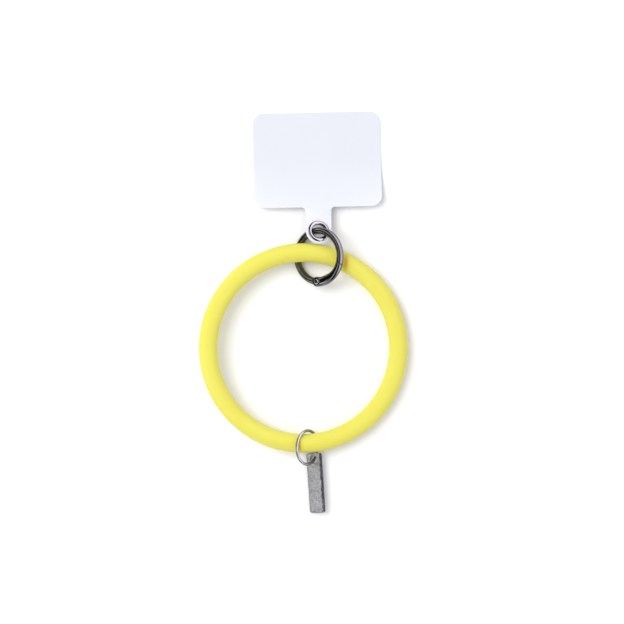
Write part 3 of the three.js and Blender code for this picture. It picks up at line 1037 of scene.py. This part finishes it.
def tabHalfWidth(distance):
    wide, narrow = tab["width"] / 2, tab["tongue"] / 2
    corner, fillet = tab["corner"], tab["fillet"]
    if distance < corner:
        return wide - corner + math.sqrt(max(corner**2 - (corner - distance) ** 2, 0))
    if distance <= tab["length"]:
        past = max(distance - (tab["length"] - corner), 0)
        return wide - corner + math.sqrt(max(corner**2 - past**2, 0))
    if distance < tab["length"] + fillet:
        past = fillet - (distance - tab["length"])
        return narrow + fillet - math.sqrt(max(fillet**2 - past**2, 0))
    past = max(distance - eyeletAt, 0)
    return math.sqrt(max(narrow**2 - past**2, 0))


def evenRows(first, last, count):
    return [first + (last - first) * i / count for i in range(1, count)]


def openingRows(first, radius, step):
    # the rows of a quarter turn, close together at its start
    turns = [math.radians(a) for a in range(0, 91, step)]
    return [first + radius * (1 - math.cos(turn)) for turn in turns]


def closingRows(first, radius, last, step):
    # the rows of a turn that get closer towards its end
    turns = [math.radians(a) for a in range(0, last + 1, step)]
    return [first + radius * math.sin(turn) for turn in turns]


def tabRows():
    # rows along the sheet, closer together where its outline turns
    corner, fillet, length = tab["corner"], tab["fillet"], tab["length"]
    return [
        *openingRows(0, corner, 5),
        *evenRows(corner, length - corner, 44),
        *closingRows(length - corner, corner, 90, 5),
        *openingRows(length + tab["shoulder"], fillet, 9),
        *evenRows(length + fillet, eyeletAt, 20),
        *closingRows(eyeletAt, tab["tongue"] / 2, 87, 4),
    ]


def makeTab():
    rows = tabRows()
    last = len(rows) - 1
    clearSelection()
    bpy.ops.mesh.primitive_grid_add(
        x_subdivisions=tab["columns"], y_subdivisions=last, size=2
    )
    sheet = newest("phoneTabSheet")
    for vert in sheet.data.vertices:
        row = round((vert.co.y + 1) / 2 * last)
        distance = rows[row]
        half = tabHalfWidth(distance)
        # at the pad's own end the width is the pad's, not the tongue's
        if row and abs(distance - tab["length"]) < sameLimit:
            half = tab["width"] / 2 - tab["corner"]
        vert.co = (vert.co.x * half, -distance, 0)
    useModifier(sheet, "SOLIDIFY", thickness=tab["thickness"], offset=0)
    cutWith(sheet, bar("tabHole", (0, -eyeletAt, 0), tab["hole"], through / 2, sides=72))
    softenEdges(sheet, tab["edge"], segments=3, angle=50)
    # bent and twisted as the solid is
    slope = findSlope(seats["eyelet"].translation.z - tab["thickness"] / 2)
    for vert in sheet.data.vertices:
        vert.co = tabFrame(-vert.co.y, slope) @ Vector((vert.co.x, 0, vert.co.z))
    tidyMesh(sheet)
    smooth(sheet, 40)
    settle(sheet, seats["tab"])
    return dress(sheet, "sheet", "tab", "clear_sheet", "phone_tab")


tabSheet = makeTab()
print("strap: phone tab,", len(tabSheet.data.polygons), "faces")


# eyelet: a rolled grommet and its washer

eyelet = {
    "hole": 0.0029,
    "outer": 0.00465,
    "rim": 0.0001,
    "arch": 0.00045,
    "wall": 0.00035,
    "washer": 0.0003,
    "washerRadius": 0.0043,
    "lip": 0.00026,
    "gap": 0.0001,
    "edge": 0.00004,
    "washerEdge": 0.00008,
    "turns": 96,
}


def archRise(share):
    # a low arch with a thin upright rim on its outer side only
    return eyelet["arch"] * (1 - share**2) + eyelet["rim"] * (1 if share > 0 else 1 - share**2)


def makeEyelet():
    under = tab["thickness"] / 2 + eyelet["gap"]
    shank = eyelet["hole"] + eyelet["wall"]
    middle = (eyelet["hole"] + eyelet["outer"]) / 2
    halfCrown = eyelet["outer"] - middle
    lipTop = -under - eyelet["washer"] - eyelet["gap"]
    lipRadius = eyelet["washer"] + eyelet["gap"] + eyelet["lip"] + under - tab["thickness"] / 2
    shares = [1 - i / 12 for i in range(25)]
    crown = [(middle + halfCrown * share, under + archRise(share)) for share in shares]
    lip = [
        (
            eyelet["hole"] + lipRadius * (1 - math.cos(math.radians(a))),
            lipTop - eyelet["lip"] + lipRadius * (1 - math.sin(math.radians(a))),
        )
        for a in range(0, 91, 9)
    ]
    profile = [
        (shank, under),
        (eyelet["outer"] - eyelet["edge"], under),
        (eyelet["outer"], under + eyelet["edge"]),
        *crown,
        (eyelet["hole"], under),
        *lip,
        (lip[-1][0], lipTop),
        (shank, lipTop),
    ]
    grommet = spunProfile("eyeletGrommet", profile, eyelet["turns"])
    smooth(grommet, 50)
    settle(grommet, seats["eyelet"])
    return dress(grommet, "eyelet", "tab", "eyelet_nickel", "eyelet")


def makeWasher():
    top = -tab["thickness"] / 2 - eyelet["gap"]
    inner = eyelet["hole"] + eyelet["wall"] + eyelet["gap"]
    low = top - eyelet["washer"]
    outer = eyelet["washerRadius"]
    soft = eyelet["washerEdge"]
    slight = soft * 0.3
    profile = [
        (inner, low),
        (outer - soft, low),
        (outer - slight, low + slight),
        (outer, low + soft),
        (outer, top - soft),
        (outer - slight, top - slight),
        (outer - soft, top),
        (inner, top),
    ]
    washer = spunProfile("eyeletWasher", profile, eyelet["turns"])
    smooth(washer, 50)
    settle(washer, seats["eyelet"])
    return dress(washer, "eyelet", "tab", "eyelet_nickel", "eyelet_washer")


grommet = makeEyelet()
makeWasher()
print("strap: eyelet,", len(grommet.data.polygons), "faces")
